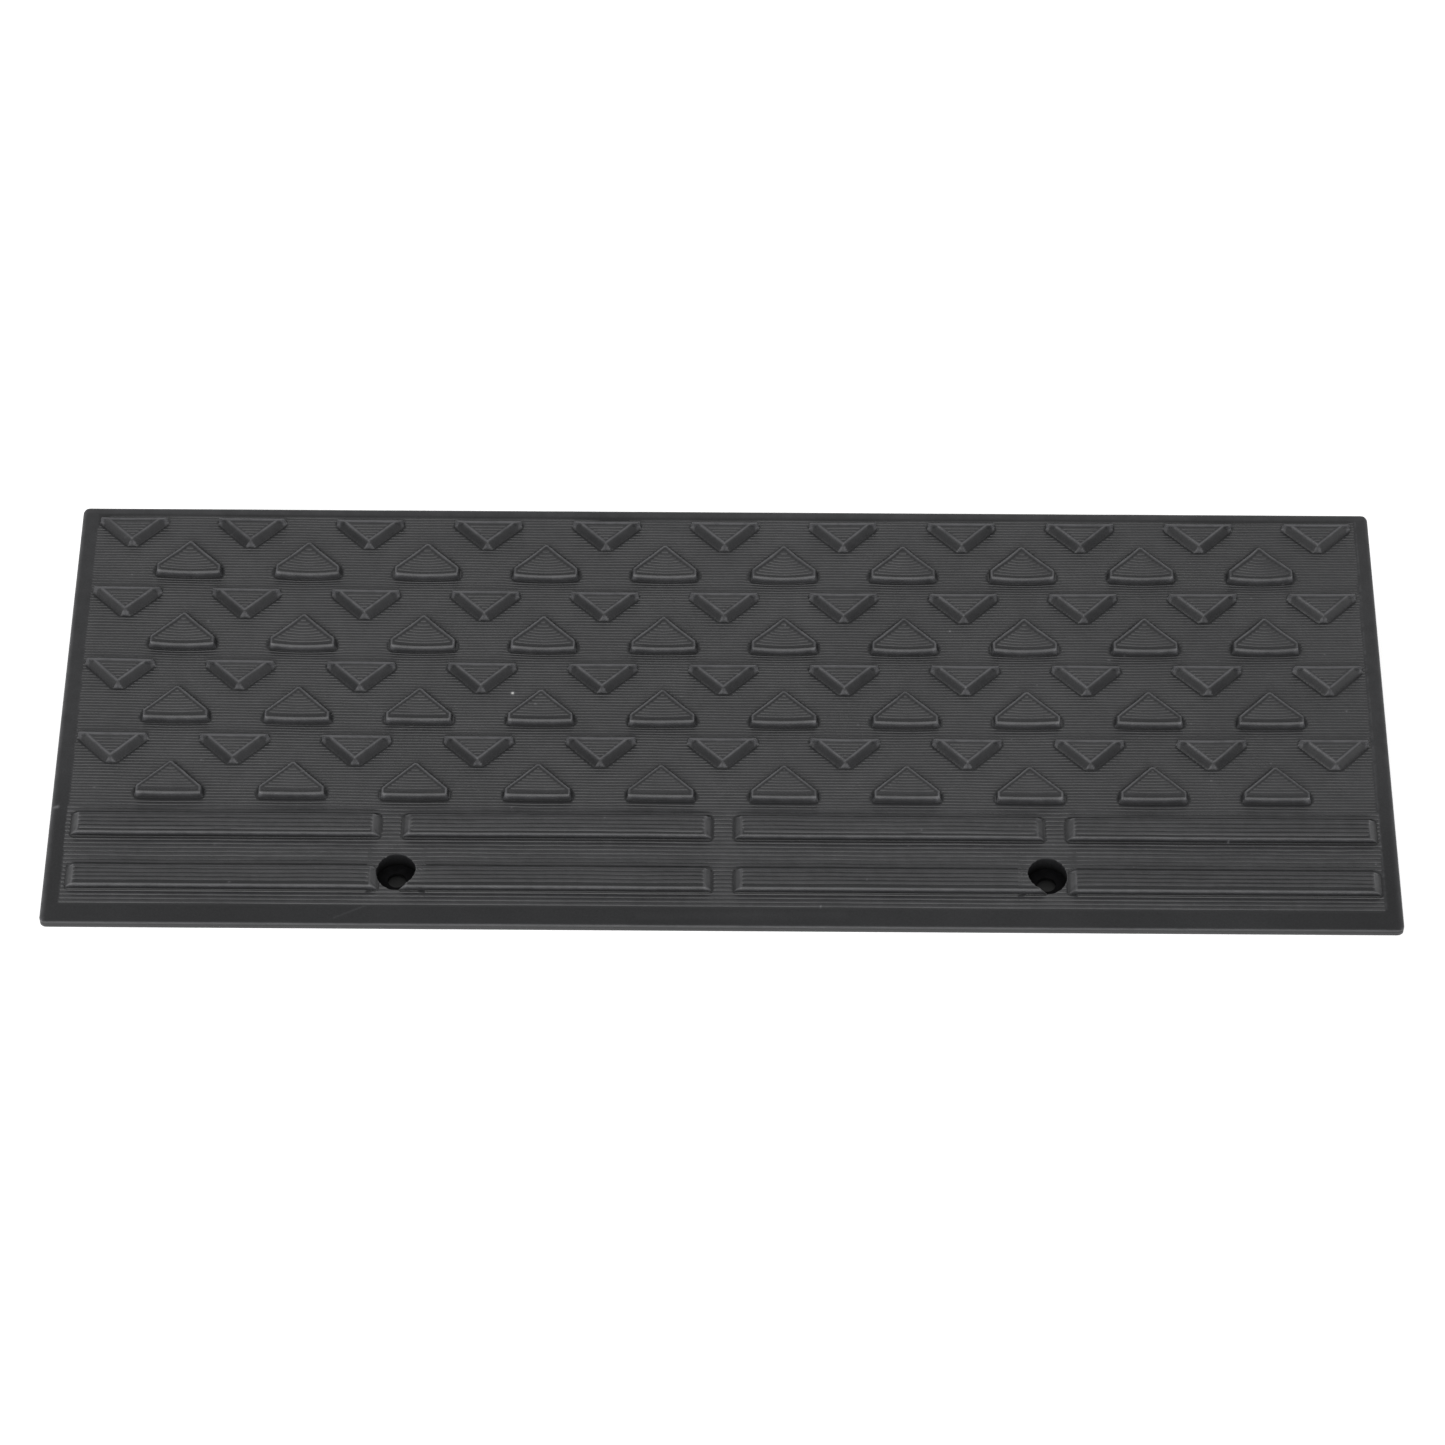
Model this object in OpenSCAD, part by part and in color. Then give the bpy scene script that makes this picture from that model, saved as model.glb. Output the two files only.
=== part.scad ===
// Portable wheelchair ramp: one moulded rubber wedge that bridges a kerb or a door threshold.
// Its deck climbs from a thin toe to a plain back wall, and carries raised triangles and
// cross bars for grip. Ribs stiffen the hollow underside. Two fixing holes near the toe end
// on steel washers that are moulded into the rubber, and a thin skin closes them below.
// X runs along the toe, the deck climbs towards +Y, Z is up, and the origin is at the
// middle of the underside.

/* [Ramp] */
// Width of the ramp, along the toe
ramp_w = 1000; // [990:1:1100]
// Depth of the ramp, from the toe to the back wall
ramp_d = 360; // [356:1:420]
// Height of the deck at the back wall
rise = 75; // [65:1:100]
// Height of the toe's front edge
toe_h = 6; // [5:1:10]
// Corner radius in plan
corner_r = 5; // [2:1:10]

/* [Tread triangles] */
// Number of triangles in a row that points down the ramp; the rows between have one less
tri_cols = 11; // [5:1:11]
// Number of pairs of rows
tri_pairs = 4; // [1:1:4]
// Distance between the columns of a row
col_pitch = 91.8; // [70:0.1:91.9]
// Distance between the pairs of rows, along the deck
pair_pitch = 65.7; // [60:0.1:67]
// Distance from the toe to the long side of the first row, along the deck
tri_start = 106.2; // [100:0.1:107]
// Distance from the first row's long side to the sharp tips of the row behind it
tip_offset = 25.2; // [24:0.1:26]
// Long side of a triangle, between its sharp corners
tri_base = 58.6; // [40:0.1:60]
// Distance from the long side to the sharp tip
tri_depth = 25.8; // [18:0.1:27]
// How much is cut off each end of the long side
corner_cut = 3.1; // [1:0.1:4]
// How much is cut off the tip
tip_cut = 1.5; // [0.5:0.1:3]
// Height of a triangle above the deck
tri_h = 6; // [3:0.5:10]
// Size of a triangle's top against its foot
tri_taper = 0.88; // [0.8:0.01:1]

/* [Grip bars] */
// Number of bars in a row
bar_count = 4; // [2:1:6]
// Number of rows of bars
bar_rows = 2; // [1:1:2]
// Width that a row of bars covers
bar_span = 969; // [900:1:970]
// Gap between two bars of a row
bar_gap = 16; // [8:1:24]
// Distance from the toe to the first row, along the deck
bar_start = 29.5; // [24:0.5:36]
// Distance between the rows
bar_pitch = 44.4; // [36:0.1:48]
// Width of a bar, along the deck
bar_w = 18.4; // [12:0.1:22]
// Height of a bar above the deck
bar_h = 5; // [3:0.5:10]
// Length of the slope at each end of a bar
bar_end = 5.6; // [1:0.1:8]

/* [Fixing holes] */
// Distance between the two fixing holes
hole_spacing = 480; // [300:1:600]
// Distance from the toe to a hole's axis, in plan
hole_inset = 43; // [36:0.5:60]
// Diameter of a fixing hole
hole_d = 29.5; // [26:0.5:34]
// Diameter of a moulded-in washer
washer_d = 46; // [38:1:60]
// Thickness of a washer
washer_t = 2.5; // [2:0.5:4]
// Diameter of the bolt hole in a washer
bolt_d = 13.5; // [9:0.5:18]
// Thickness of the rubber skin under a washer
skin_t = 2; // [1:0.5:2]

/* [Underside] */
// Number of hollows across the ramp
cell_cols = 10; // [8:1:14]
// Number of hollows from front to back
cell_rows = 3; // [1:1:4]
// Distance from the toe to the first hollow
cell_start = 96; // [90:1:130]
// Thickness of the ribs between the hollows
rib_t = 14; // [8:1:20]
// Thickness of the side walls and the back wall
wall_t = 14; // [10:1:24]
// Thickness of the deck over the hollows
deck_t = 14; // [10:1:15]
// Radius of a hollow's upright corners
cell_r = 8; // [3:1:12]

/* [Hidden] */
$fn = 48;
slope = atan((rise - toe_h) / ramp_d);
toe_y = -ramp_d / 2;
// Everything raised on the deck is rooted this far below its surface
root = 2;
// Cutting solids pass a surface by this much
over = 1;
// The taper leans the two legs of a triangle more than its long side
taper_centre = 4.2;
bar_l = (bar_span - (bar_count - 1) * bar_gap) / bar_count;
seat_z = skin_t + washer_t;
cell_w = (ramp_w - 2 * wall_t - (cell_cols - 1) * rib_t) / cell_cols;
cell_d = (ramp_d - cell_start - wall_t - (cell_rows - 1) * rib_t) / cell_rows;

// Places its children on the deck: X across, Y up the slope from the toe, Z out of the deck
module on_deck() {
    translate([0, toe_y, toe_h]) rotate([slope, 0, 0]) children();
}

module rounded_rect(w, d, r) {
    translate([r, 0]) square([w - 2 * r, d]);
    translate([0, r]) square([w, d - 2 * r]);
    for (x = [r, w - r])
        for (y = [r, d - r])
            translate([x, y]) circle(r);
}

// The plain wedge, with the upright corners rounded
module wedge() {
    intersection() {
        translate([-ramp_w / 2, 0, 0]) rotate([90, 0, 90]) linear_extrude(ramp_w)
            polygon([[toe_y, 0], [-toe_y, 0], [-toe_y, rise], [toe_y, toe_h]]);
        translate([-ramp_w / 2, toe_y, -over]) linear_extrude(rise + 2 * over)
            rounded_rect(ramp_w, ramp_d, corner_r);
    }
}

// A triangle with its long side at the near edge and its tip up the slope
module tread_triangle() {
    end_x = tri_base / 2 - corner_cut;
    tip_x = tip_cut * tri_base / (2 * tri_depth);
    end_y = corner_cut * 2 * tri_depth / tri_base;
    translate([0, taper_centre, -root])
        linear_extrude(tri_h + root, scale = tri_taper)
            translate([0, -taper_centre])
                polygon([
                    [-end_x, 0],
                    [end_x, 0],
                    [end_x, end_y],
                    [tip_x, tri_depth - tip_cut],
                    [-tip_x, tri_depth - tip_cut],
                    [-end_x, end_y]
                ]);
}

// Rows that point up the ramp and rows that point down it, with half a pitch between them
module tread_triangles() {
    for (pair = [0 : tri_pairs - 1]) {
        row_y = tri_start + pair * pair_pitch;
        for (col = [0 : tri_cols - 2])
            translate([(col - (tri_cols - 2) / 2) * col_pitch, row_y, 0])
                tread_triangle();
        for (col = [0 : tri_cols - 1])
            translate([(col - (tri_cols - 1) / 2) * col_pitch, row_y + tip_offset + tri_depth, 0])
                mirror([0, 1, 0]) tread_triangle();
    }
}

// A bar with sloped ends and upright long sides
module grip_bar() {
    translate([0, bar_w, 0]) rotate([90, 0, 0]) linear_extrude(bar_w)
        polygon([[0, -root], [bar_l, -root], [bar_l, 0], [bar_l - bar_end, bar_h],
            [bar_end, bar_h], [0, 0]]);
}

module grip_bars() {
    for (row = [0 : bar_rows - 1])
        for (i = [0 : bar_count - 1])
            translate([-bar_span / 2 + i * (bar_l + bar_gap), bar_start + row * bar_pitch, 0])
                grip_bar();
}

// A fixing hole down to its washer, with the pocket that the rubber leaves for the washer
module fixing_hole() {
    translate([0, 0, skin_t]) cylinder(h = washer_t, d = washer_d);
    translate([0, 0, seat_z - 0.5]) cylinder(h = rise, d = hole_d);
}

// The hollows of the underside, closed above by the deck
module underside_hollows() {
    intersection() {
        for (col = [0 : cell_cols - 1])
            for (row = [0 : cell_rows - 1])
                translate([-ramp_w / 2 + wall_t + col * (cell_w + rib_t),
                        toe_y + cell_start + row * (cell_d + rib_t), -over])
                    linear_extrude(rise) rounded_rect(cell_w, cell_d, cell_r);
        on_deck() translate([-ramp_w / 2, 0, -deck_t - 2 * rise])
            cube([ramp_w, 2 * ramp_d, 2 * rise]);
    }
}

module ramp_body() {
    color([0.13, 0.13, 0.135]) difference() {
        union() {
            wedge();
            on_deck() tread_triangles();
            on_deck() grip_bars();
        }
        underside_hollows();
        for (side = [-1, 1])
            translate([side * hole_spacing / 2, toe_y + hole_inset, 0]) fixing_hole();
    }
}

module seat_washer(side) {
    color([0.08, 0.08, 0.085])
        translate([side * hole_spacing / 2, toe_y + hole_inset, skin_t]) difference() {
            cylinder(h = washer_t, d = washer_d);
            translate([0, 0, -over]) cylinder(h = washer_t + 2 * over, d = bolt_d);
        }
}

ramp_body();
seat_washer(-1);  // seat_washer_left
seat_washer(1);  // seat_washer_right
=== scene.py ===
"""The looks of the rubber threshold ramp: one moulded wedge with a tread of triangles and
bars, two bolt recesses with steel washers, on a plain floor in soft light."""

import math
from types import SimpleNamespace

import bpy
import numpy as np
from mathutils import Euler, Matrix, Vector


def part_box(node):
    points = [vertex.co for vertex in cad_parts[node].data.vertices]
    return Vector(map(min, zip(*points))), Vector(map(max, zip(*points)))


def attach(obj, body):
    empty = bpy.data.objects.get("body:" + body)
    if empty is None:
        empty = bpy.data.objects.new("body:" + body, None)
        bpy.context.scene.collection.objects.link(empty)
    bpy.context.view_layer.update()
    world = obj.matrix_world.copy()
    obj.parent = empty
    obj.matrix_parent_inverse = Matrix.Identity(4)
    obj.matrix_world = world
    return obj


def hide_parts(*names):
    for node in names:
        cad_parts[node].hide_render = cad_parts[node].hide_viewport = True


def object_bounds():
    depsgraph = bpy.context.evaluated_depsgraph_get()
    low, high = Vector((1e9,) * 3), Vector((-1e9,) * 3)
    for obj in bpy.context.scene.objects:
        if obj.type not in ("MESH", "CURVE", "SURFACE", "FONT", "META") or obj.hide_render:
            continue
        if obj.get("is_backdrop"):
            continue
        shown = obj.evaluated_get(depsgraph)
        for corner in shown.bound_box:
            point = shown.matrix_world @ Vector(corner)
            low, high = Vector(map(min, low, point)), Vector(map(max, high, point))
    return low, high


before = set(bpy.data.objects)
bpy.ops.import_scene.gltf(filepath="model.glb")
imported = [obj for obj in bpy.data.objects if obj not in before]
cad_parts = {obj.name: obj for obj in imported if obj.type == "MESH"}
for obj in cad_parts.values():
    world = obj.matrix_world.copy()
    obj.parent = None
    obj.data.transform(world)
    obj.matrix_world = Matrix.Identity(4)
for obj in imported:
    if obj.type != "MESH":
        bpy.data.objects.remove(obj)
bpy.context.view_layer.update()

MM = 0.001

# The wedge, in millimetres, as the CAD has it
WIDTH, DEPTH, RISE, TOE = 1000.0, 360.0, 75.0, 6.0
SLOPE = math.atan2(RISE - TOE, DEPTH)
DECK = DEPTH / math.cos(SLOPE)
CORNER = 5.0

# The ridged field of the deck, measured up the slope from the toe
FIELD_START, FIELD_SPLIT, FIELD_END = 16.4, 99.7, 359.7
FIELD_SIDE, FIELD_FLARE = 487.2, 2.6
COARSE_PITCH, FINE_PITCH = 3.332, 2.5
COARSE_AMP, FINE_AMP = 0.66, 0.34
SAW_AT = [0.0, 0.2, 0.45, 0.72, 1.0]
SAW_UP = [-0.5, 0.5, 0.28, -0.08, -0.5]
# How much paler the ridged field is made, and the painted highlight on its crests with painted
# shade in its troughs
FIELD_PALE, COARSE_PALE, CREST_HIGHLIGHT = 0.125, 0.185, 0.08

# Tread triangles: rows that point up the slope, with rows that point down it between them
COLS, PAIRS, COL_PITCH = 11, 4, 91.8
TRI_UP = 5.95
# How far the ridges sag on the triangles of each row that points up
ROW_SAG = [0.5, 1.1, 2.3, 2.7]

# Grip bars
BAR_ROWS, BARS, BAR_SPAN, BAR_GAP = [28.4, 72.9], 4, 969.0, 16.0
BAR_WIDE, BAR_UP, BAR_END = 18.6, 5.0, 5.8

# Bolt recesses
HOLE_X, HOLE_INSET, HOLE_R = 240.0, 43.0, 14.75
PATCH, PATCH_RINGS = 22, 44
SEAT_R, SEAT_LOW, SEAT_HIGH = 23.0, 2.0, 4.5
WASHER_BORE, WASHER_ROUND = 6.75, 0.3
# A washer stays this far inside its own CAD solid, and so clear of the rubber
WASHER_GAP = 0.05

# The hollows of the underside
CELL_COLS, CELL_ROWS, CELL_START, RIB, WALL, SKIN, CELL_R = 10, 3, 96.0, 14.0, 14.0, 14.0, 8.0

# Edges that turn by more than this stay sharp
SHARP_ANGLE = math.radians(28)

# The floor: half its size, and how far it lies under the ramp, in metres
FLOOR_HALF, FLOOR_DROP = 12.0, 0.0005

rng = np.random.default_rng(7)


def smoothstep(lo, hi, v):
    """0 below lo, 1 above hi, and a smooth rise between them."""
    t = np.clip((v - lo) / (hi - lo), 0, 1)
    return t * t * (3 - 2 * t)


def wall_profile(run, height, radius):
    """Distances and heights of a leaning wall with its top edge rounded."""
    lean = math.atan2(height, run)
    reach = radius * math.tan(lean / 2)
    turn = np.linspace(math.pi / 2 + lean, math.pi / 2, 13)
    xs = np.concatenate([[0.0], run + reach + radius * np.cos(turn)])
    zs = np.concatenate([[0.0], height - radius + radius * np.sin(turn)])
    return xs, zs


def noise(x, q, size_x, size_q, seed):
    """Smooth value noise between about -1 and 1 on a seeded lattice."""
    lattice = np.random.default_rng(seed).uniform(-1, 1, (64, 64))
    u, v = x / size_x + 31.3, q / size_q + 17.7
    i, j = np.floor(u).astype(int), np.floor(v).astype(int)
    fu, fv = u - i, v - j
    fu, fv = fu * fu * (3 - 2 * fu), fv * fv * (3 - 2 * fv)

    def at(a, b):
        return lattice[a % 64, b % 64]

    low = at(i, j) * (1 - fu) + at(i + 1, j) * fu
    high = at(i, j + 1) * (1 - fu) + at(i + 1, j + 1) * fu
    return low * (1 - fv) + high * fv


def rounded(a, b, r):
    """Distance inside both edges a and b, with their corner rounded, and the share of a."""
    inside = (a < r) & (b < r)
    ra, rb = np.maximum(r - a, 0), np.maximum(r - b, 0)
    reach = np.hypot(ra, rb)
    d = np.where(inside, r - reach, np.minimum(a, b))
    share = np.where(inside, ra * ra / np.maximum(reach * reach, 1e-9), (a < b) * 1.0)
    return d, share


# ---------------------------------------------------------------- tread layout


# The two kinds of triangle. u runs across one from its middle, v from its long side to its tip.
#   way: the direction of v up the slope; start, pitch: where the long sides of the rows stand
#   half, deep: half the long side and the depth, out to the sharp corners
#   blunt, tip: how far out the corners and the tip are cut off, and how steep those walls are
#   nose, plan: the rounding of the tip and of the corners, in plan
#   land, rim: how far inside the long side and the legs the ridged top starts
#   groove, foot: depth of the grooves round the ridged top and round the foot
#   keep: how high the ridges stand on the top, against the field
UP = SimpleNamespace(
    way=1, start=105.9, pitch=65.7, half=33.6, deep=30.4, nose=2.0, plan=2.2,
    blunt=25.6, blunt_steep=1.0, tip=29.0, tip_steep=1.0,
    base_wall=wall_profile(0.5, TRI_UP, 3.2), leg_wall=wall_profile(1.2, TRI_UP, 1.4),
    land=3.9, rim=3.5, groove=0.26, foot=0.2, keep=1.15,
)
DOWN = SimpleNamespace(
    way=-1, start=158.1, pitch=65.1, half=29.2, deep=26.6, nose=1.4, plan=1.4,
    blunt=26.4, blunt_steep=2.2, tip=23.4, tip_steep=1.55,
    base_wall=wall_profile(0.6, TRI_UP, 0.5), leg_wall=wall_profile(4.5, TRI_UP, 0.8),
    land=3.0, rim=5.9, groove=0.34, foot=0.35, keep=1.2,
)


def triangle_list():
    """(x, long side, kind, sag of its ridges) of every triangle."""
    found = []
    for pair in range(PAIRS):
        for kind, cols in ((UP, COLS - 1), (DOWN, COLS)):
            for i in range(cols):
                x = (i - (cols - 1) / 2) * COL_PITCH
                sag = rng.uniform(-0.1, 0.5)
                if kind is UP:
                    sag = ROW_SAG[pair] * (0.75 + 0.5 * (sag + 0.1) / 0.6)
                found.append((x, kind.start + pair * kind.pitch, kind, sag))
    return found


TRIANGLES = triangle_list()
BAR_LONG = (BAR_SPAN - (BARS - 1) * BAR_GAP) / BARS
BAR_LIST = [
    (-BAR_SPAN / 2 + 1 + i * (BAR_LONG + BAR_GAP), row)
    for row in BAR_ROWS
    for i in range(BARS)
]
BAR_FRONT, BAR_BACK = wall_profile(0.5, BAR_UP, 2.5), wall_profile(1.1, BAR_UP, 0.5)
BAR_SIDE = wall_profile(BAR_END, BAR_UP, 0.8)


def row_bow(x, q):
    """The rows of the tread lie a little further up the slope at both ends."""
    amount = np.interp(q, [92, 106, 172, 237, 303, 352, 365], [0, 1.0, 1.9, 2.4, 2.2, 1.2, 0])
    return amount * ((x / 459) ** 2 - 0.2)


def line_shift(x, q):
    """How far the moulded lines wander up the slope from their straight places."""
    shift = 0.34 * noise(x, q, 46, 24, 11) + 0.16 * noise(x, q, 17, 9, 12)
    shift += 0.10 * noise(x, q, 150, 2.5, 13)
    shift *= smoothstep(17, 40, q) * (1 - smoothstep(352, 364, q))
    for cx, base, kind, sag in TRIANGLES:
        near = (np.abs(x - cx) < 42) & (np.abs(q - base) < 48)
        u = np.abs(x[near] - cx)
        v = (q[near] - base) * kind.way
        half = (kind.half - 2) * np.clip(1 - v / kind.deep, 0.1, 1)
        bow = np.clip(1 - (u / half) ** 2, 0, 1)
        before = np.exp(np.minimum(v, 0) / 5.5)
        fade = np.where(v < 0, before, 1 - smoothstep(kind.deep - 15, kind.deep - 3, v))
        shift[near] = shift[near] * (1 - 0.5 * bow * fade) - sag * bow * fade
    for cx in (-HOLE_X, HOLE_X):
        away = np.hypot(x - cx, q - HOLE_INSET / math.cos(SLOPE))
        shift *= smoothstep(20, 32, away)
    for row in BAR_ROWS:
        wall = np.minimum(np.abs(q - row), np.abs(q - row - BAR_WIDE))
        shift *= 0.35 + 0.65 * smoothstep(0, 6, wall)
    return shift + row_bow(x, q)


def foot_groove(d, depth):
    """The narrow groove round the foot of a raised shape, d being the distance inside it."""
    return depth * np.exp(-(((d + 0.7) / 0.6) ** 2)) * (d < 0.35)


def bump_at(d, place, width):
    """A smooth bump of height 1 round a place."""
    return np.exp(-(((d - place) / width) ** 2))


def triangle_distances(u, v, kind):
    """Distances inside a triangle's legs, cut tip, cut corners and whole outline."""
    lean = kind.deep / math.hypot(kind.half, kind.deep)
    reach = kind.half - v * kind.half / kind.deep
    legs, _ = rounded((reach - u) * lean, (reach + u) * lean, kind.nose)
    cut = (kind.tip - v) * kind.tip_steep
    ends = (kind.blunt - u) * kind.blunt_steep
    inner = np.minimum(legs, cut)
    outer, _ = rounded(inner, ends, 1.2)
    d, from_base = rounded(v, outer, kind.plan)
    return SimpleNamespace(
        d=d, from_base=from_base, inner=inner, outer=outer, ends=ends, cut=cut,
        at_tip=cut < legs + 0.3,
    )


def up_highlights(side_u, v, near):
    """Painted highlights on a triangle that points up: thin along the legs, wide along the near
    side, and a spot at one corner of the near side.
    """
    rims = 1.4 * (1 - near.from_base) * bump_at(near.outer, 1.75, 0.8) * (v > 1)
    rims *= smoothstep(0.8, 2.2, near.ends)
    band = 0.5 * smoothstep(-0.3, 0.5, v) * (1 - smoothstep(1.2, 2.6, v)) * (near.d > -0.3)
    corner = 0.75 * bump_at(side_u, 23.2, 1.7) * bump_at(v, 1.0, 1.2) * (near.d > 0.1)
    return np.maximum(rims, band) + corner


def down_painted_light(side_u, v, near):
    """Painted light on a triangle that points down: highlights along its far side, legs, ends and
    cut tip, and painted light on its leg walls.
    """
    u = np.abs(side_u)
    rims = 1.15 * bump_at(near.inner, 5.1, 0.8) * (v > 1.2) * ~near.at_tip
    band = 1.2 * bump_at(v, 1.4, 1.2) * (near.d > 0.2)
    band += 0.6 * bump_at(near.d, 0.9, 0.7) * (u > 23.5) * (v < 5)
    # painted light on the leg walls, stronger on the right leg, as from a lamp on the right
    walls = np.where(side_u > 0, 0.12, 0.05) * (near.d > 0.5) * (near.inner < 4.9)
    tip = bump_at(near.cut, 1.7, 1.7) * near.at_tip * (near.d > 0)
    tip *= 1 - 0.4 * bump_at(u, 0, 0.8)
    return np.maximum(np.maximum(rims, band), walls) + tip


def triangle_height(x, q):
    """Height of the triangles, how much of the ridges is left there, and the painted light on their
    edges and walls.
    """
    up = np.zeros_like(x)
    keep = np.ones_like(x)
    wear_and_painted_light = np.zeros_like(x)
    for cx, base, kind, _ in TRIANGLES:
        close = (np.abs(x - cx) < 37) & (np.abs(q - base) < 33)
        side_u = x[close] - cx
        u = np.abs(side_u)
        v = (q[close] - base) * kind.way
        near = triangle_distances(u, v, kind)
        height = near.from_base * np.interp(near.d, *kind.base_wall)
        height += (1 - near.from_base) * np.interp(near.d, *kind.leg_wall)
        height -= foot_groove(near.d, kind.foot)
        # distance inside the border of the ridged top
        line = np.minimum(near.inner - kind.rim, v - kind.land)
        line = np.minimum(line, kind.blunt - 2.6 - u)
        height -= kind.groove * bump_at(line, 0, 0.5)
        height -= 0.12 * smoothstep(0, 0.6, line)
        up[close] += height
        outside = 1 - smoothstep(-1.7, -1.2, near.d)
        top = smoothstep(0.1, 0.6, line) * kind.keep
        keep[close] *= np.clip(outside + top, 0, 1.2)
        if kind is UP:
            # the corner towards the ramp's side gets the painted highlight spot
            painted_light_and_wear = up_highlights(-side_u if cx < 0 else side_u, v, near)
        else:
            painted_light_and_wear = down_painted_light(side_u, v, near)
        wear_and_painted_light[close] = np.maximum(wear_and_painted_light[close], np.clip(painted_light_and_wear, 0, 1))
    return up, keep, wear_and_painted_light


def bar_height(x, q):
    """Height of the grip bars, how much of the ridges is left there, and painted highlights on
    their edges and end slopes.
    """
    up = np.zeros_like(x)
    keep = np.ones_like(x)
    wear_and_painted_light = np.zeros_like(x)
    for x0, row in BAR_LIST:
        near = (x > x0 - 4) & (x < x0 + BAR_LONG + 4)
        near &= (q > row - 4) & (q < row + BAR_WIDE + 4)
        xs, qs = x[near], q[near]
        end = np.minimum(xs - x0, x0 + BAR_LONG - xs)
        front, back = qs - row, row + BAR_WIDE - qs
        side = np.minimum(front, back)
        d, from_side = rounded(side, end, 1.6)
        long_wall = np.where(front < back, np.interp(d, *BAR_FRONT), np.interp(d, *BAR_BACK))
        height = from_side * long_wall + (1 - from_side) * np.interp(end, *BAR_SIDE)
        height = np.minimum(height, np.interp(end, *BAR_SIDE) + 0.4 * (end > 0))
        height = np.clip(height, 0, BAR_UP) - foot_groove(d, 0.38)
        up[near] += height
        inner = smoothstep(BAR_END + 0.2, BAR_END + 0.9, end)
        inner *= smoothstep(3.6, 4.2, front) * smoothstep(2.6, 3.2, back)
        outside = 1 - smoothstep(-1.5, -0.9, d)
        keep[near] *= np.clip(outside + 1.3 * inner, 0, 1.3)
        # painted highlights along the front edge, at the front of the left bars' ends, along the
        # back edge and the ends, and painted light on the end slopes
        band = 0.5 * smoothstep(0.1, 0.5, front) * (1 - smoothstep(0.9, 2.2, front)) * (end > 0.5)
        band += 0.5 * bump_at(end, 3.2, 2.2) * bump_at(front, 1.2, 1.0) * (x0 < 0)
        rims = 0.5 * bump_at(back, 1.5, 0.6) * (end > 3)
        rims += 0.4 * bump_at(end, BAR_END, 0.7) * (side > 2)
        slopes = 0.3 * smoothstep(0.8, 2.5, end) * (1 - smoothstep(5.6, 6.2, end)) * (side > 1)
        wear_and_painted_light[near] = np.maximum(wear_and_painted_light[near], np.clip(band + rims + slopes, 0, 1))
    return up, keep, wear_and_painted_light


def field_side(q):
    """Distance from the middle of the ramp to the side of the ridged field."""
    return FIELD_SIDE + FIELD_FLARE * q / DECK


def field_mask(x, q):
    """1 on the ridged field and 0 on the smooth margins round it."""
    side = field_side(q) + 0.35 * noise(x * 0 + 3, q, 40, 7, 21)
    start = FIELD_START - 0.4 + 0.4 * noise(x, q * 0, 60, 9, 22)
    end = FIELD_END - 1.0 + 1.4 * noise(x, q * 0, 70, 9, 23)
    mask = smoothstep(0, 0.9, side - np.abs(x))
    mask *= smoothstep(-0.3, 0.5, q - start) * smoothstep(-0.3, 0.6, end - q)
    corner = np.hypot(np.maximum(-x - 470, 0), np.maximum(q - 342, 0))
    return mask * (1 - smoothstep(17, 19, corner))


def ridges(x, q):
    """Height of the saw-toothed ridges about their middle."""
    fine = q >= FIELD_SPLIT
    turns = np.where(fine, (q - FIELD_SPLIT) / FINE_PITCH, (q - FIELD_START) / COARSE_PITCH)
    number = np.floor(turns + 1e-6)
    saw = np.interp(turns - number, SAW_AT, SAW_UP)
    size = np.where(fine, FINE_AMP, COARSE_AMP)
    swell = 1 + 0.10 * noise(x, q, 70, 38, 31) + 0.12 * noise(x, number * 10, 30, 10, 32)
    return saw * size * swell


def scuff(x, q, x0, q0, x1, q1, width, strength):
    """A pale mark along a straight line on the deck; a speck is a line without length."""
    near = np.abs(x - (x0 + x1) / 2) < abs(x1 - x0) / 2 + 4
    near &= np.abs(q - (q0 + q1) / 2) < abs(q1 - q0) / 2 + 4
    out = np.zeros_like(x)
    ax, aq = x[near] - x0, q[near] - q0
    length2 = (x1 - x0) ** 2 + (q1 - q0) ** 2
    t = np.clip((ax * (x1 - x0) + aq * (q1 - q0)) / max(length2, 1e-9), 0, 1)
    away = np.hypot(ax - t * (x1 - x0), aq - t * (q1 - q0))
    out[near] = strength * np.exp(-((away / width) ** 2))
    return out


def mark_list():
    """A crumb, a diagonal scratch and a rub on the toe band, and specks of dust all over."""
    marks = [
        (-159.6, 199.5, -159.6, 199.5, 1.5, 2.0),
        (-284.0, 5.0, -259.5, 16.2, 0.6, 0.22),
        (-60.0, 8.0, 90.0, 10.0, 3.5, 0.05),
        (-499.0, 96.0, -495.0, 97.0, 1.2, 1.1),
    ]
    for _ in range(70):
        x0, q0 = rng.uniform(-490, 490), rng.uniform(3, 358)
        marks.append((x0, q0, x0, q0, rng.uniform(0.5, 0.9), rng.uniform(0.5, 1.35)))
    for _ in range(16):
        x0, q0, reach = rng.uniform(-480, 480), rng.uniform(4, 350), rng.uniform(4, 22)
        way = rng.uniform(-0.5, 0.5)
        x1, q1 = x0 + reach * math.cos(way), q0 + reach * math.sin(way)
        marks.append((x0, q0, x1, q1, 0.45, rng.uniform(0.2, 0.4)))
    return marks


MARKS = mark_list()


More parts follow.
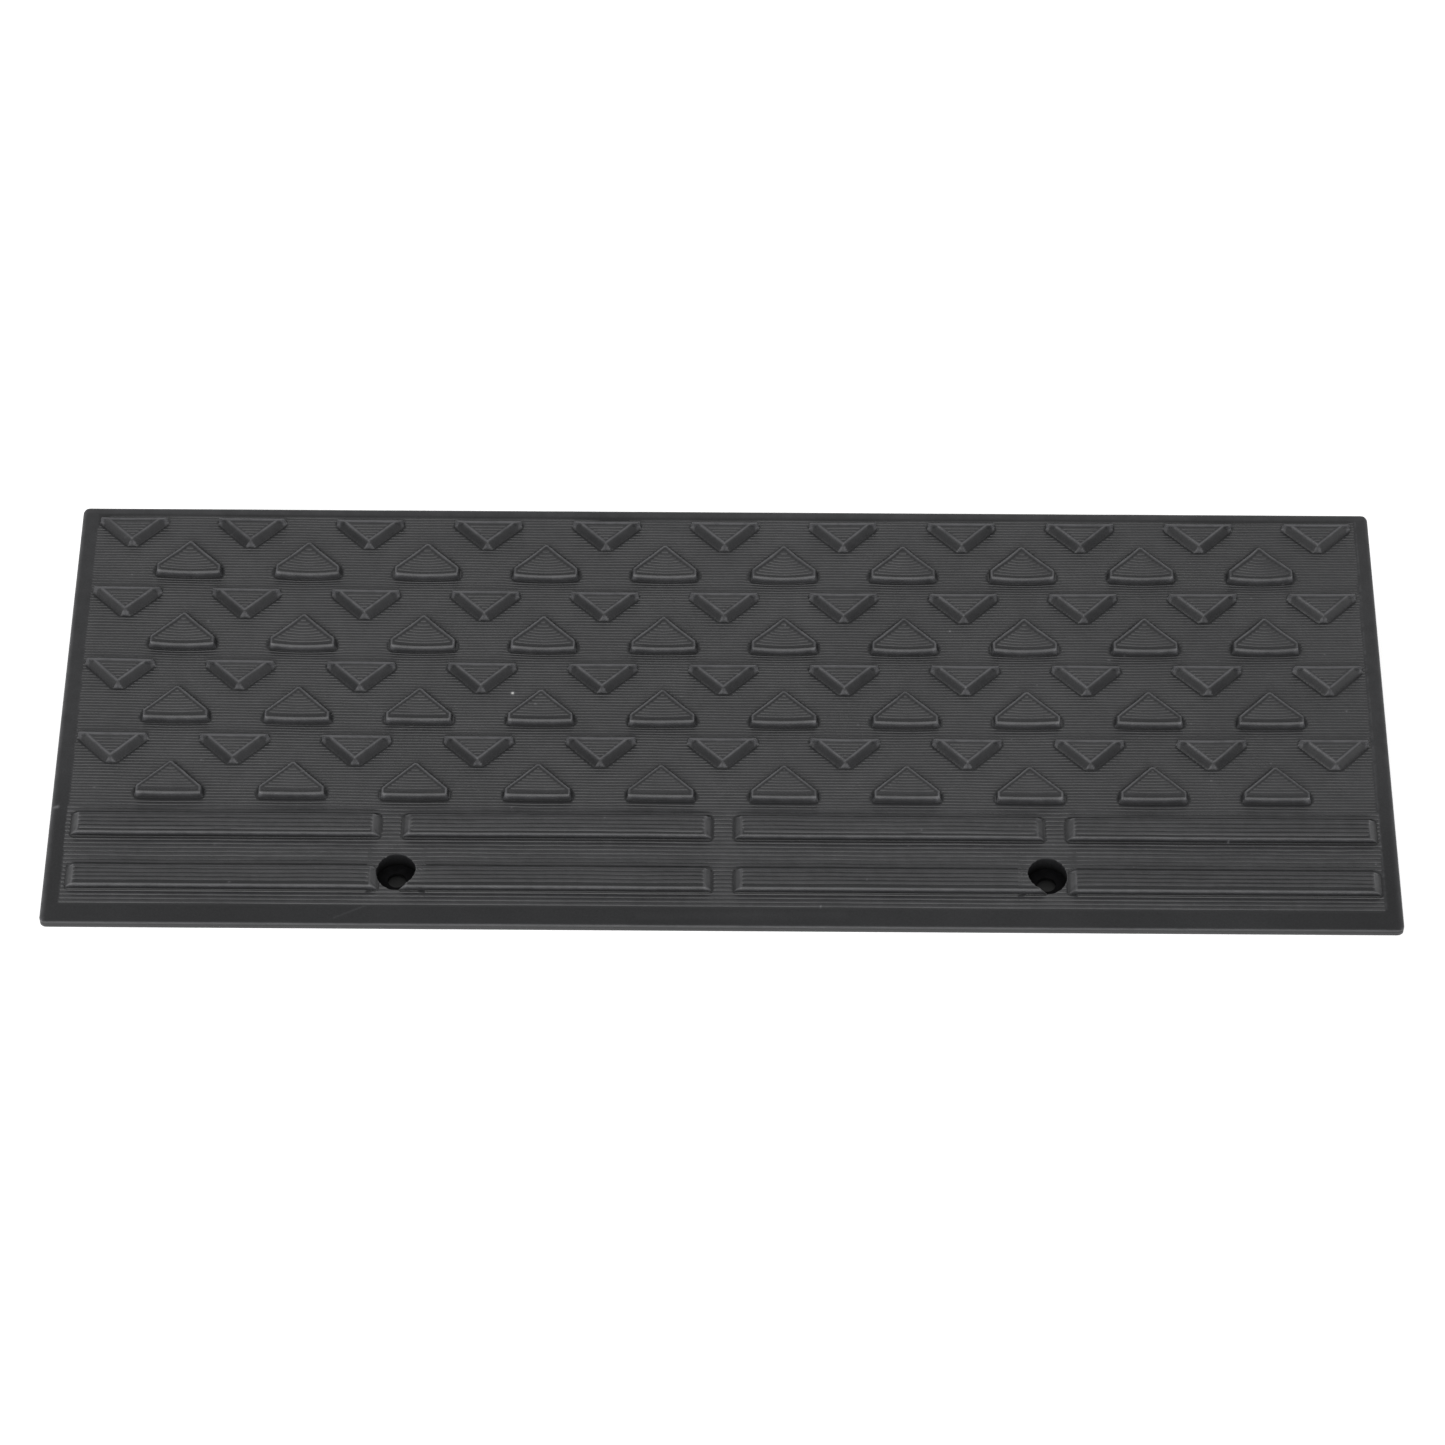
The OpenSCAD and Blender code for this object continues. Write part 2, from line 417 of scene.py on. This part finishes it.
def deck_surface(x, q):
    """Height of the moulded surface above the plain deck in millimetres, and its wear, dust and
    painted light.
    """
    tri, keep_tri, tri_painted_light = triangle_height(x, q)
    bar, keep_bar, bar_painted_highlights = bar_height(x, q)
    ridged = field_mask(x, q) * keep_tri * keep_bar
    saw = ridges(x, q)
    up = saw * ridged + tri + bar
    # the ridged field is made paler, its crests lighter as painted highlight and its troughs darker
    # as painted shade
    field_tone_and_crest_highlight = np.where(q < FIELD_SPLIT, COARSE_PALE, FIELD_PALE)
    field_tone_and_crest_highlight += CREST_HIGHLIGHT * np.clip(saw / FINE_AMP, -1.0, 1.6)
    wear_and_painted_light = np.maximum(field_tone_and_crest_highlight * np.clip(ridged, 0, 1), np.maximum(tri_painted_light, bar_painted_highlights))
    up += 0.10 * noise(x, q, 120, 60, 41) + 0.05 * noise(x, q, 33, 20, 42)
    # a thin line of flash along the right edge of the ridged field
    flash = bump_at(x - field_side(q), 0.2, 0.8) * (q > FIELD_START) * (q < FIELD_END)
    flash *= 0.6 + 0.4 * noise(x * 0, q, 40, 3.0, 51)
    up += 0.2 * flash
    wear_and_painted_light = np.maximum(wear_and_painted_light, 0.5 * flash)
    side = WIDTH / 2 - np.abs(x)
    for gap, radius in ((side, 1.4), (q, 0.7), (DECK - q, 1.6)):
        inside = np.clip(gap, 0, radius)
        up -= radius - np.sqrt(np.maximum(radius**2 - (radius - inside) ** 2, 0))
    # painted highlight along the rounded side edges, stronger on the left
    pale_highlight_and_wear = np.clip(1 - (side - 0.3) / 5.0, 0, 1) ** 2
    wear_and_painted_light = np.maximum(wear_and_painted_light, np.where(x < 0, 0.95, 0.55) * pale_highlight_and_wear)
    margin = smoothstep(40, 180, q) * (1 - smoothstep(12, 14, side))
    wear_and_painted_light = np.maximum(wear_and_painted_light, 0.13 * margin)
    # painted highlight along the toe's top edge
    wear_and_painted_light = np.maximum(wear_and_painted_light, 0.35 * np.clip(1 - q / 1.6, 0, 1))
    wear_and_painted_light = np.maximum(wear_and_painted_light, 0.24 * smoothstep(FIELD_END, FIELD_END + 1.5, q))
    for mark in MARKS:
        wear_and_painted_light = np.maximum(wear_and_painted_light, scuff(x, q, *mark))
    return up - 0.35 * np.clip(1 - side / 5.5, 0, 1) ** 2, wear_and_painted_light


def deck_height(x, q):
    """Height of the moulded surface above the plain deck."""
    return deck_surface(x, q)[0]


def to_world(x, s, up):
    """Points of the ramp for places on the deck, with its corners rounded in plan."""
    y = -DEPTH / 2 + s * math.cos(SLOPE) - up * math.sin(SLOPE)
    z = TOE + s * math.sin(SLOPE) + up * math.cos(SLOPE)
    y = np.clip(y, -DEPTH / 2, DEPTH / 2)
    px = np.abs(x) - (WIDTH / 2 - CORNER)
    py = np.abs(y) - (DEPTH / 2 - CORNER)
    both = (px > 0) & (py > 0)
    shrink = np.where(both, np.maximum(px, py) / np.maximum(np.hypot(px, py), 1e-9), 1.0)
    x = np.where(both, np.sign(x) * (WIDTH / 2 - CORNER + px * shrink), x)
    y = np.where(both, np.sign(y) * (DEPTH / 2 - CORNER + py * shrink), y)
    return np.stack([x, y, z], -1)


# ---------------------------------------------------------------- the deck's grid


def deck_lines():
    """The grid lines across and up the deck. Where two would fall together, the earlier stays."""
    edge = [0, 0.15, 0.5, 1.0, 1.6, 2.4, 3.6]
    xs = [-WIDTH / 2 + e for e in edge] + list(np.arange(-495.0, 495.5, 1.0))
    xs += [WIDTH / 2 - e for e in edge[::-1]]
    coarse = round((FIELD_SPLIT - FIELD_START) / COARSE_PITCH)
    fine = round((FIELD_END - FIELD_SPLIT) / FINE_PITCH)
    ends = [0, 0.08, 0.25, 0.5, 0.8, 1.6] + list(np.arange(2.8, 16, 1.2))
    ends += [FIELD_END, 360.5, 362, 363.5, 364.6, 365.3, 365.8, 366.2, 366.45, DECK]
    crests = [FIELD_START + COARSE_PITCH * (i + p) for i in range(coarse) for p in SAW_AT[:-1]]
    crests += [FIELD_SPLIT + FINE_PITCH * (i + p) for i in range(fine) for p in SAW_AT[:-1]]
    walls = []
    for row in BAR_ROWS:
        walls += [row + e for e in (0, -1.2, -0.7, -0.3, 0.25, 0.5, 0.75, 1.05, 1.4, 1.9, 2.5, 3.2)]
        walls += [row + BAR_WIDE - e for e in (0, -1.2, -0.7, -0.3, 0.55, 1.1, 1.3, 1.6, 2.2)]
    for pair in range(PAIRS):
        row, far = UP.start + pair * UP.pitch, DOWN.start + pair * DOWN.pitch
        walls += [row + e for e in (0, -1.2, -0.7, -0.3, 0.2, 0.5, 0.75, 1.1, 1.6, 2.2, 3.0, 3.9)]
        walls += [far - e for e in (0, -1.2, -0.7, -0.3, 0.3, 0.6, 0.8, 1.05, 1.6, 2.4)]
    kept = []
    for q in ends + crests + walls:
        if all(abs(q - k) > 0.14 for k in kept):
            kept.append(q)
    return np.array(xs), np.array(sorted(kept))


class Builder:
    """Collects vertices in millimetres and faces, and makes one mesh of them."""

    def __init__(self):
        self.blocks, self.count, self.quads, self.polygons = [], 0, [], []
        self.wear_and_painted_light = []

    def add(self, points, wear_and_painted_light=0.0):
        points = np.asarray(points, float).reshape(-1, 3)
        first = self.count
        self.blocks.append(points)
        self.wear_and_painted_light.append(np.zeros(len(points)) + np.ravel(wear_and_painted_light))
        self.count += len(points)
        return np.arange(first, self.count)

    def strip(self, a, b, closed=True):
        """Quads between two loops of the same length."""
        a2, b2 = np.roll(a, -1), np.roll(b, -1)
        faces = np.stack([a, a2, b2, b], 1)
        self.quads.append(faces if closed else faces[:-1])

    def polygon(self, loop):
        self.polygons.append(np.asarray(loop, int))

    def mesh(self, name):
        verts = np.concatenate(self.blocks) * MM
        quads = np.concatenate(self.quads)
        sizes = np.concatenate([np.full(len(quads), 4), [len(p) for p in self.polygons]])
        corners = np.concatenate([quads.ravel()] + self.polygons)
        me = bpy.data.meshes.new(name)
        me.vertices.add(len(verts))
        me.vertices.foreach_set("co", verts.astype(np.float32).ravel())
        me.loops.add(len(corners))
        me.loops.foreach_set("vertex_index", corners.astype(np.int32))
        me.polygons.add(len(sizes))
        starts = np.concatenate([[0], np.cumsum(sizes)[:-1]])
        me.polygons.foreach_set("loop_start", starts.astype(np.int32))
        me.update(calc_edges=True)
        # the attribute holds real wear and dust, painted highlights where edges catch the light,
        # and painted shade where it is below zero
        wear_and_painted_light = me.attributes.new("wear_and_painted_light", "FLOAT", "POINT")
        wear_and_painted_light.data.foreach_set("value", np.concatenate(self.wear_and_painted_light).astype(np.float32))
        return me


def circle_on_deck(centre_x, radius, turn):
    """Deck coordinates where an upright cylinder round a bolt recess meets the deck."""
    x = centre_x + radius * np.cos(turn)
    y = HOLE_INSET + radius * np.sin(turn)
    q = y / math.cos(SLOPE)
    for _ in range(4):
        q = (y + deck_height(x, q) * math.sin(SLOPE)) / math.cos(SLOPE)
    return x, q


def hole_patch(build, grid, xs, qs, centre_x):
    """Replaces the grid round a bolt recess with rings that end in a round, upright bore."""
    cq = HOLE_INSET / math.cos(SLOPE)
    i0, i1 = np.searchsorted(xs, [centre_x - PATCH - 0.01, centre_x + PATCH - 0.01])
    j0, j1 = np.searchsorted(qs, [cq - PATCH, cq + PATCH])
    far, left = slice(i0 + 1, i1 + 1), slice(j0 + 1, j1 + 1)
    wide, tall = i1 - i0, j1 - j0
    last = np.concatenate(
        [grid[j0, i0:i1], grid[j0:j1, i1], grid[j1, far][::-1], grid[left, i0][::-1]]
    )
    bx = np.concatenate([xs[i0:i1], np.full(tall, xs[i1]), xs[far][::-1], np.full(tall, xs[i0])])
    bq = np.concatenate([np.full(wide, qs[j0]), qs[j0:j1], np.full(wide, qs[j1]), qs[left][::-1]])
    turn = np.arctan2((bq - cq) * math.cos(SLOPE), bx - centre_x)

    # rings on the deck from the square border to the lip, then the lip's rounded edge
    rx, rq = circle_on_deck(centre_x, HOLE_R + 0.35, turn)
    for way in np.linspace(0, 1, PATCH_RINGS)[1:]:
        px, pq = bx + (rx - bx) * way, bq + (rq - bq) * way
        up, wear_and_painted_light = deck_surface(px, pq)
        # painted highlight on the recess's lip
        if way > 0.97:
            wear_and_painted_light = np.maximum(wear_and_painted_light, 0.25)
        drop = 0.06 if way > 0.999 else 0.0
        ring = build.add(to_world(px, pq, up - drop), wear_and_painted_light)
        build.strip(last, ring)
        last = ring
    px, pq = circle_on_deck(centre_x, HOLE_R, turn)
    up, wear_and_painted_light = deck_surface(px, pq)
    ring = build.add(to_world(px, pq, up - 0.25), np.maximum(wear_and_painted_light, 0.25))
    build.strip(last, ring)
    last = ring

    # the bore down to the washer, and the pocket that holds the washer; the bore darkens downward
    # as painted shade and the pocket is painted black
    lip_z = build.blocks[-1][:, 2]
    levels = [(HOLE_R, p, 0.2 - 1.2 * p) for p in (0.12, 0.4, 0.7, 1.0)]
    levels += [(SEAT_R, 1.0, -1.0), (SEAT_R, None, -1.0)]
    for radius, part, wear_and_painted_light in levels:
        z = lip_z * 0 + SEAT_LOW if part is None else lip_z * (1 - part) + SEAT_HIGH * part
        x = centre_x + radius * np.cos(turn)
        y = -DEPTH / 2 + HOLE_INSET + radius * np.sin(turn)
        ring = build.add(np.stack([x, y, z], 1), wear_and_painted_light)
        build.strip(last, ring)
        last = ring
    build.polygon(last)
    return (i0, i1, j0, j1)


def side_walls(build, loop, top):
    """Walls from the deck's edge down to the ground, with a small bevel. Returns the last loop."""
    out = top[:, :2]
    inset_x, inset_y = WIDTH / 2 - CORNER, DEPTH / 2 - CORNER
    inward = np.clip(out, (-inset_x, -inset_y), (inset_x, inset_y)) - out
    inward /= np.maximum(np.linalg.norm(inward, axis=1, keepdims=True), 1e-9)
    last = loop
    height = top[:, 2]
    parting = [(4.55, 0.0), (4.25, 0.10), (3.95, 0.38), (3.65, 0.10), (3.4, 0.0), (2.0, 0.0)]
    bevel = [(0.7, 0.0), (0.15, 0.05), (0.0, 0.25)]
    for z, inset in parting + bevel:
        level = np.minimum(z, height - 0.05)
        # the groove of the parting line is only on the low front edge
        depth = inset * (smoothstep(12.0, 6.0, height) if z > 1 else np.ones_like(height))
        ring = build.add(np.column_stack([out + inward * depth[:, None], level]))
        build.strip(last, ring)
        last = ring
    return last


def underside(build, rim):
    """The flat bottom with its hollows. rim is not used: build_ramp joins the bottom to the loop
    rim.
    """
    inner_w = WIDTH - 2 * WALL
    cell_w = (inner_w - (CELL_COLS - 1) * RIB) / CELL_COLS
    cell_d = (DEPTH - CELL_START - WALL - (CELL_ROWS - 1) * RIB) / CELL_ROWS
    x_edges = [-WIDTH / 2 + WALL - RIB / 2 + i * (cell_w + RIB) for i in range(CELL_COLS + 1)]
    y_edges = [-DEPTH / 2 + CELL_START - RIB / 2 + j * (cell_d + RIB) for j in range(CELL_ROWS + 1)]
    knots = build.add([(x, y, 0.0) for y in y_edges for x in x_edges])
    knots = knots.reshape(CELL_ROWS + 1, CELL_COLS + 1)
    steps = 10
    for j in range(CELL_ROWS):
        for i in range(CELL_COLS):
            low = np.array([x_edges[i] + RIB / 2, y_edges[j] + RIB / 2])
            high = low + [cell_w, cell_d]
            mid, size = (low + high) / 2, (high - low) / 2
            round_x, round_y = size - CELL_R
            signs = [(-1, -1), (1, -1), (1, 1), (-1, 1)]
            outline = []
            for k, (sx, sy) in enumerate(signs):
                for t in np.linspace(0, 1, steps + 1):
                    a = math.pi + (k + t) * math.pi / 2
                    x = mid[0] + sx * round_x + CELL_R * math.cos(a)
                    y = mid[1] + sy * round_y + CELL_R * math.sin(a)
                    outline.append((x, y))
            outline = np.array(outline)
            mids = [k * (steps + 1) + steps // 2 for k in range(4)]
            # a chamfered mouth, then the upright walls, then a chamfer round the ceiling
            rings = []
            for wider, z in ((0.4, 0.0), (0.0, 0.4)):
                loop = mid + (outline - mid) * (1 + wider / size)
                rings.append(build.add(np.column_stack([loop, np.full(len(loop), z)])))
            for narrower, drop in ((0.0, 1.5), (1.5, 0.0)):
                loop = mid + (outline - mid) * (1 - narrower / size)
                deck = TOE + (loop[:, 1] + DEPTH / 2) * math.tan(SLOPE)
                ceiling = deck - SKIN / math.cos(SLOPE) - drop
                rings.append(build.add(np.column_stack([loop, ceiling])))
            for a, b in zip(rings, rings[1:]):
                build.strip(b, a)
            build.polygon(rings[-1][::-1])
            corners = [knots[j, i], knots[j, i + 1], knots[j + 1, i + 1], knots[j + 1, i]]
            first = rings[0]
            for k in range(4):
                a, b = mids[k], mids[(k + 1) % 4]
                span = first[np.arange(a, b + 1 if b > a else b + 1 + len(first)) % len(first)]
                build.polygon(np.concatenate([[corners[(k + 1) % 4], corners[k]], span]))
    return knots


def build_ramp():
    """The whole moulding as one closed mesh: deck, recesses, side walls and underside."""
    xs, qs = deck_lines()
    build = Builder()
    gx, gq = np.meshgrid(xs, qs)
    shift = line_shift(gx.ravel(), gq.ravel()).reshape(gx.shape)
    up, wear_and_painted_light = deck_surface(gx.ravel(), gq.ravel())
    points = to_world(gx, gq + shift, up.reshape(gx.shape))
    grid = build.add(points, wear_and_painted_light).reshape(gx.shape)
    keep = np.ones((len(qs) - 1, len(xs) - 1), bool)
    used = np.ones(gx.shape, bool)
    for cx in (-HOLE_X, HOLE_X):
        i0, i1, j0, j1 = hole_patch(build, grid, xs, qs, cx)
        keep[j0:j1, i0:i1] = False
        used[j0 + 1 : j1, i0 + 1 : i1] = False
    faces = np.stack([grid[:-1, :-1], grid[:-1, 1:], grid[1:, 1:], grid[1:, :-1]], -1)
    build.quads.append(faces[keep])
    loop = np.concatenate([grid[0, :-1], grid[:-1, -1], grid[-1, 1:][::-1], grid[1:, 0][::-1]])
    top = points.reshape(-1, 3)[loop]
    rim = side_walls(build, loop[::-1], top[::-1])
    knots = underside(build, rim)
    # the loop runs clockwise from above, starting at the near left corner
    rim_points = np.concatenate(build.blocks)[rim]
    corners = [
        int(np.argmin(np.hypot(rim_points[:, 0] - x, rim_points[:, 1] - y)))
        for x, y in (
            (-WIDTH / 2, -DEPTH / 2), (-WIDTH / 2, DEPTH / 2),
            (WIDTH / 2, DEPTH / 2), (WIDTH / 2, -DEPTH / 2),
        )
    ]
    edges = [knots[:, 0], knots[-1, :], knots[::-1, -1], knots[0, ::-1]]
    total = len(rim)
    for k in range(4):
        a, b = corners[k], corners[(k + 1) % 4]
        count = (b - a) % total
        span = rim[(a + np.arange(count + 1)) % total]
        build.polygon(np.concatenate([span, edges[k][::-1]]))
    # vertices under the patches are dropped
    spare = grid[~used]
    everything = np.concatenate(build.blocks)
    alive = np.ones(len(everything), bool)
    alive[spare] = False
    renumber = np.cumsum(alive) - 1
    build.blocks = [everything[alive]]
    build.wear_and_painted_light = [np.concatenate(build.wear_and_painted_light)[alive]]
    build.quads = [renumber[np.concatenate(build.quads)]]
    build.polygons = [renumber[p] for p in build.polygons]
    return build.mesh("ramp_moulding")


def washer_mesh(name, centre, radius, bore, low, high):
    """A washer with a small round on every edge, turned about an upright axis."""
    e = WASHER_ROUND
    profile = [
        (bore, low + e),
        (bore, high - e),
        (bore + e * 0.3, high - e * 0.3),
        (bore + e, high),
        (radius - WASHER_GAP - e, high),
        (radius - WASHER_GAP - e * 0.3, high - e * 0.3),
        (radius - WASHER_GAP, high - e),
        (radius - WASHER_GAP, low + e),
        (radius - WASHER_GAP - e, low + WASHER_GAP),
        (bore + e, low + WASHER_GAP),
    ]
    build = Builder()
    turn = np.linspace(0, 2 * math.pi, 96, endpoint=False)
    rings = [
        build.add(
            np.column_stack(
                [centre[0] + r * np.cos(turn), centre[1] + r * np.sin(turn), np.full(96, z)]
            )
        )
        for r, z in profile
    ]
    for a, b in zip(rings, rings[1:] + rings[:1]):
        build.strip(a, b)
    return build.mesh(name)


def add_object(me, name):
    o = bpy.data.objects.new(name, me)
    bpy.context.scene.collection.objects.link(o)
    return o


def smooth(me):
    """Smooth shading, with the sharp edges kept."""
    me.polygons.foreach_set("use_smooth", np.ones(len(me.polygons), bool))
    me.set_sharp_from_angle(angle=SHARP_ANGLE)
    me.update()


# ---------------------------------------------------------------- materials


def node_material(name):
    mat = bpy.data.materials.new(name)
    mat.use_nodes = True
    tree = mat.node_tree
    return mat, tree, tree.nodes["Principled BSDF"]


def link(tree, a, b):
    tree.links.new(a, b)


def noise_node(tree, coords, scale, detail=4.0, rough=0.55):
    n = tree.nodes.new("ShaderNodeTexNoise")
    n.inputs["Scale"].default_value = scale
    n.inputs["Detail"].default_value = detail
    n.inputs["Roughness"].default_value = rough
    link(tree, coords, n.inputs["Vector"])
    return n


def ramp_node(tree, value, stops):
    """A colour ramp of (place, grey level or colour) stops."""
    r = tree.nodes.new("ShaderNodeValToRGB")
    while len(r.color_ramp.elements) > 1:
        r.color_ramp.elements.remove(r.color_ramp.elements[-1])
    for k, (at, level) in enumerate(stops):
        e = r.color_ramp.elements[0] if k == 0 else r.color_ramp.elements.new(at)
        e.position = at
        c = level if isinstance(level, tuple) else (level,) * 3
        e.color = (*c, 1)
    link(tree, value, r.inputs["Fac"])
    return r


def mix_colour(tree, factor, a, b, kind="MIX"):
    """Mixes a and b; each of the three is a socket, a number or a colour."""
    m = tree.nodes.new("ShaderNodeMix")
    m.data_type = "RGBA"
    m.blend_type = kind
    for socket, v in ((m.inputs["Factor"], factor), (m.inputs["A"], a), (m.inputs["B"], b)):
        if isinstance(v, (int, float)):
            socket.default_value = v
        elif isinstance(v, tuple):
            socket.default_value = (*v, 1)
        else:
            link(tree, v, socket)
    return m.outputs["Result"]


def halved(tree, value):
    half = tree.nodes.new("ShaderNodeMath")
    half.operation = "MULTIPLY"
    half.inputs[1].default_value = 0.5
    link(tree, value, half.inputs[0])
    return half.outputs[0]


def rubber_material():
    """Near-black rubber, paler with the wear, dust and painted highlights that the mesh's attribute
    holds, and darker with its painted shade.
    """
    mat, tree, bsdf = node_material("moulded_rubber")
    coords = tree.nodes.new("ShaderNodeTexCoord").outputs["Object"]
    broad = noise_node(tree, coords, 7.0, 3.0)
    darker, lighter = (0.0140, 0.0142, 0.0152), (0.0205, 0.0208, 0.0221)
    pale_highlight_and_wear, crumb = (0.098, 0.098, 0.103), (0.55, 0.55, 0.53)
    cloud = ramp_node(tree, broad.outputs["Fac"], [(0.3, darker), (0.7, lighter)])
    fine = noise_node(tree, coords, 900.0, 2.0)
    grain = ramp_node(tree, fine.outputs["Fac"], [(0.35, 0.8), (0.7, 1.25)])
    colour = mix_colour(tree, 1.0, cloud.outputs["Color"], grain.outputs["Color"], "MULTIPLY")
    wear_and_painted_light = tree.nodes.new("ShaderNodeAttribute")
    wear_and_painted_light.attribute_name = "wear_and_painted_light"
    patchy = noise_node(tree, coords, 110.0, 4.0)
    patches = ramp_node(tree, patchy.outputs["Fac"], [(0.3, 0.65), (0.7, 1.35)])
    painted_light_and_wear = mix_colour(tree, 1.0, wear_and_painted_light.outputs["Fac"], patches.outputs["Color"], "MULTIPLY")
    light = ramp_node(tree, painted_light_and_wear, [(0.0, 0.0), (1.0, 1.0)])
    colour = mix_colour(tree, light.outputs["Color"], colour, pale_highlight_and_wear)
    crumbs = ramp_node(tree, halved(tree, wear_and_painted_light.outputs["Fac"]), [(0.5, 0.0), (0.85, 1.0)])
    colour = mix_colour(tree, crumbs.outputs["Color"], colour, crumb)
    # values below zero darken the colour: painted shade in the bolt recesses
    shade = tree.nodes.new("ShaderNodeMath")
    shade.operation = "ADD"
    shade.use_clamp = True
    link(tree, wear_and_painted_light.outputs["Fac"], shade.inputs[0])
    shade.inputs[1].default_value = 1.0
    colour = mix_colour(tree, 1.0, colour, shade.outputs[0], "MULTIPLY")
    link(tree, colour, bsdf.inputs["Base Color"])
    sheen = noise_node(tree, coords, 22.0, 5.0)
    rough = ramp_node(tree, sheen.outputs["Fac"], [(0.3, 0.34), (0.7, 0.44)])
    link(tree, rough.outputs["Color"], bsdf.inputs["Roughness"])
    bsdf.inputs["IOR"].default_value = 1.5
    bump = tree.nodes.new("ShaderNodeBump")
    bump.inputs["Strength"].default_value = 0.25
    bump.inputs["Distance"].default_value = 0.0002
    relief = noise_node(tree, coords, 1400.0, 3.0)
    link(tree, relief.outputs["Fac"], bump.inputs["Height"])
    link(tree, bump.outputs["Normal"], bsdf.inputs["Normal"])
    return mat


def washer_material():
    """Dull black coated steel, made darker still as painted shade deep in the recess."""
    mat, tree, bsdf = node_material("coated_steel")
    coords = tree.nodes.new("ShaderNodeTexCoord").outputs["Object"]
    cloud = noise_node(tree, coords, 160.0, 4.0)
    darker, lighter = (0.003, 0.003, 0.0033), (0.006, 0.006, 0.0065)
    tone = ramp_node(tree, cloud.outputs["Fac"], [(0.3, darker), (0.7, lighter)])
    link(tree, tone.outputs["Color"], bsdf.inputs["Base Color"])
    rough = ramp_node(tree, cloud.outputs["Fac"], [(0.3, 0.5), (0.7, 0.65)])
    bsdf.inputs["Specular IOR Level"].default_value = 0.05
    link(tree, rough.outputs["Color"], bsdf.inputs["Roughness"])
    bump = tree.nodes.new("ShaderNodeBump")
    bump.inputs["Strength"].default_value = 0.2
    bump.inputs["Distance"].default_value = 0.0002
    link(tree, noise_node(tree, coords, 800.0).outputs["Fac"], bump.inputs["Height"])
    link(tree, bump.outputs["Normal"], bsdf.inputs["Normal"])
    return mat


# ---------------------------------------------------------------- the pieces

rubber = rubber_material()
steel = washer_material()

mesh = build_ramp()
ramp = add_object(mesh, "ramp_moulding")
mesh.materials.append(rubber)
smooth(mesh)
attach(ramp, "root")
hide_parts("ramp_body")

for side in ("left", "right"):
    node = f"seat_washer_{side}"
    low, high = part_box(node)
    centre = (low + high) / 2 / MM
    radius = (high.x - low.x) / 2 / MM
    top = high.z / MM - WASHER_GAP
    me = washer_mesh(f"washer_{side}", centre, radius, WASHER_BORE, low.z / MM, top)
    me.materials.append(steel)
    smooth(me)
    piece = add_object(me, f"washer_{side}")
    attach(piece, "root")
    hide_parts(node)

# ---------------------------------------------------------------- floor, light, camera


def floor_material():
    """White that glows a little, so that the floor stays white in the shade."""
    mat, _, bsdf = node_material("floor_white")
    bsdf.inputs["Base Color"].default_value = (0.9, 0.9, 0.9, 1)
    bsdf.inputs["Roughness"].default_value = 0.9
    bsdf.inputs["Specular IOR Level"].default_value = 0.1
    bsdf.inputs["Emission Color"].default_value = (1, 1, 1, 1)
    bsdf.inputs["Emission Strength"].default_value = 0.55
    return mat


def make_floor():
    me = bpy.data.meshes.new("floor")
    s, z = FLOOR_HALF, -FLOOR_DROP
    corners = [(-s, -s, z), (s, -s, z), (s, s, z), (-s, s, z)]
    me.from_pydata(corners, [], [(0, 1, 2, 3)])
    me.materials.append(floor_material())
    o = add_object(me, "floor")
    o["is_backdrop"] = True
    return o


make_floor()


def area_light(name, place, aim, size, power, size_y=None):
    data = bpy.data.lights.new(name, "AREA")
    data.shape = "RECTANGLE"
    data.size, data.size_y = size, size_y or size
    data.energy = power
    o = bpy.data.objects.new(name, data)
    bpy.context.scene.collection.objects.link(o)
    o.location = place
    o.rotation_euler = (Vector(aim) - Vector(place)).to_track_quat("-Z", "Y").to_euler()
    return o


def make_world():
    """Soft studio surroundings: white low down at the back, dimmer overhead and in front."""
    world = bpy.data.worlds.new("studio")
    world.use_nodes = True
    tree = world.node_tree
    back = tree.nodes["Background"]
    coords = tree.nodes.new("ShaderNodeTexCoord")
    split = tree.nodes.new("ShaderNodeSeparateXYZ")
    link(tree, coords.outputs["Generated"], split.inputs["Vector"])
    sky = ramp_node(tree, split.outputs["Z"], [(0.0, 1.0), (0.55, 1.0), (0.9, 0.35), (1.0, 0.3)])
    lift = tree.nodes.new("ShaderNodeMath")
    lift.operation = "MULTIPLY_ADD"
    lift.inputs[1].default_value = 0.5
    lift.inputs[2].default_value = 0.5
    link(tree, split.outputs["Y"], lift.inputs[0])
    front = ramp_node(tree, lift.outputs[0], [(0.32, 0.45), (0.52, 1.0)])
    colour = mix_colour(tree, 1.0, sky.outputs["Color"], front.outputs["Color"], "MULTIPLY")
    link(tree, colour, back.inputs["Color"])
    back.inputs["Strength"].default_value = 1.0
    bpy.context.scene.world = world


make_world()
# A large soft panel above the front
area_light("front_panel", (-0.4, -2.25, 2.0), (0, 0, 0.2), 3.8, 76, 3.0)

# The camera looks down on the ramp from the front, through a long lens
camera_data = bpy.data.cameras.new("camera")
camera_data.sensor_width = 36.0
camera_data.lens = 99.08
camera = bpy.data.objects.new("camera", camera_data)
bpy.context.scene.collection.objects.link(camera)
camera.location = (0.01467, -2.0179, 2.2662)
camera.rotation_euler = Euler((0.733921819, -0.000416, 0.007946))
bpy.context.scene.camera = camera
bpy.context.scene.view_settings.view_transform = "Standard"

low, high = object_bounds()
